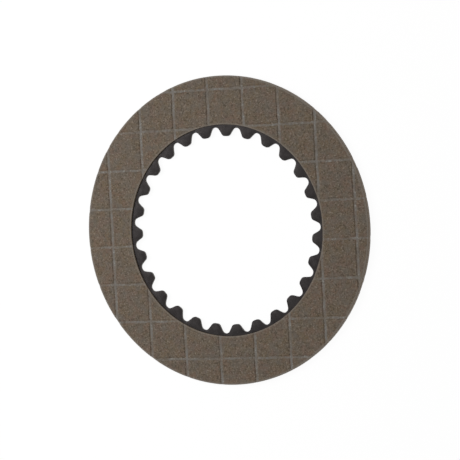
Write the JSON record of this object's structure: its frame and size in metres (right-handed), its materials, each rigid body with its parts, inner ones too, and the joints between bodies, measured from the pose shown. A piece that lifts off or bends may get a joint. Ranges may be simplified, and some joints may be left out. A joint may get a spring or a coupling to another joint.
{
  "type": "clutch friction disc",
  "caption": "Flat steel ring with an internal spline and a grooved paper friction facing bonded to each side, as used in wet multi-plate clutches.",
  "frame": {"origin": "on the spline's axis, on the core plate's middle plane", "axes": "+Z along the spline's axis, out of the upper friction face; +X through the middle of a tooth space; the oil grooves run along X and Y"},
  "size_m": [0.127, 0.127, 0.0024],
  "materials": {
    "core_steel": "matte",
    "friction_paper": "matte"
  },
  "bodies": {
    "root": {"core_plate": "core_steel", "upper_facing": "friction_paper", "lower_facing": "friction_paper"}
  },
  "joints": []
}
